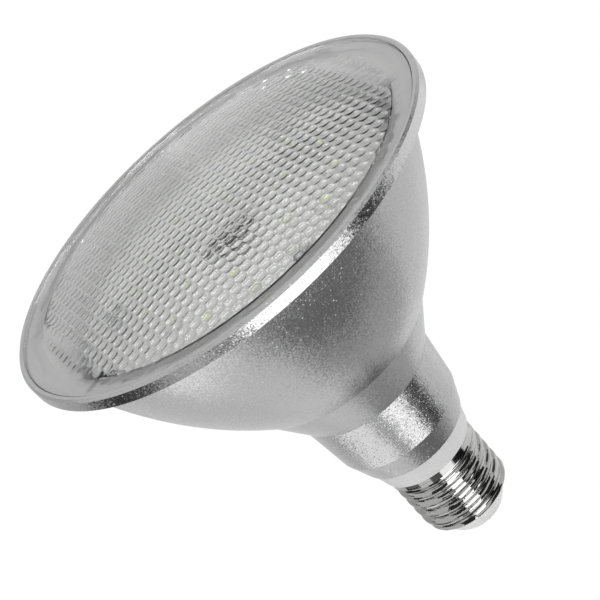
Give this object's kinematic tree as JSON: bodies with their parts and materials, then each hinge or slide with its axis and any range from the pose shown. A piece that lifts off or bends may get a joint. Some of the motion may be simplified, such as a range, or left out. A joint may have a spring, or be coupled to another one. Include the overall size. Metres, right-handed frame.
{
  "type": "reflector spotlight bulb",
  "caption": "Wide reflector spotlight bulb: silver cast aluminium body, domed clear lens with pillow texture over LED light sources, driver in the neck, and a screw cap.",
  "frame": {"origin": "tip of the centre contact, on the lamp's axis", "axes": "+Z along the lamp's axis from the cap to the lens; the lamp is turned about it so that the picture looks along +Y"},
  "size_m": [0.121, 0.121, 0.1258],
  "materials": {
    "cast_aluminium": "bead-blasted casting under a thin metallic lacquer, fine sparkle",
    "sheet_aluminium": "pressed sheet, bare",
    "clear_glass": "pressed clear glass, pillow lenslets on the inner face",
    "white_silicone": "cured silicone bead, translucent white",
    "nickel_shell": "bright nickel plate over rolled brass sheet",
    "contact_metal": "nickel-plated button, worn flat by contact",
    "pale_insulator": "smooth pale insulator",
    "white_plastic": "moulded white plastic, satin",
    "grey_pad": "heat-conducting pad",
    "white_board": "aluminium-core board under white solder mask",
    "led_package": "moulded white package",
    "phosphor": "yellow phosphor in silicone",
    "screw_steel": "zinc-plated steel screw",
    "seal_rubber": "black rubber ring",
    "green_board": "glass-fibre board under green mask",
    "can_sleeve": "dark shrink sleeve on an aluminium can",
    "film_case": "dipped film capacitor",
    "black_epoxy": "moulded black epoxy",
    "blue_coating": "dipped blue coating",
    "fuse_coating": "flameproof grey-green coating",
    "ferrite": "sintered ferrite",
    "bobbin_plastic": "moulded black phenolic",
    "enamelled_copper": "enamelled copper wire, wound",
    "red_wire": "red insulated wire",
    "black_wire": "black insulated wire",
    "white_wire": "white insulated wire"
  },
  "bodies": {
    "root": {"housing": "cast_aluminium", "heat_plate": "sheet_aluminium", "front_lens": "clear_glass", "lens_sealant": "white_silicone", "screw_shell": "nickel_shell", "centre_contact": "contact_metal", "cap_insulator": "pale_insulator", "driver_sleeve": "white_plastic", "collar_seal": "seal_rubber", "thermal_pad": "grey_pad", "led_board": "white_board", "led_bodies": "led_package", "led_phosphors": "phosphor", "board_screws": "screw_steel", "driver_board": "green_board", "bulk_capacitor": "can_sleeve", "output_capacitor": "can_sleeve", "film_capacitor": "film_case", "bridge_rectifier": "black_epoxy", "driver_chip": "black_epoxy", "varistor": "blue_coating", "fuse_resistor": "fuse_coating", "transformer_core": "ferrite", "transformer_bobbin": "bobbin_plastic", "transformer_winding": "enamelled_copper", "live_wire": "red_wire", "neutral_wire": "white_wire", "led_wire_positive": "white_wire", "led_wire_negative": "black_wire"}
  },
  "joints": []
}
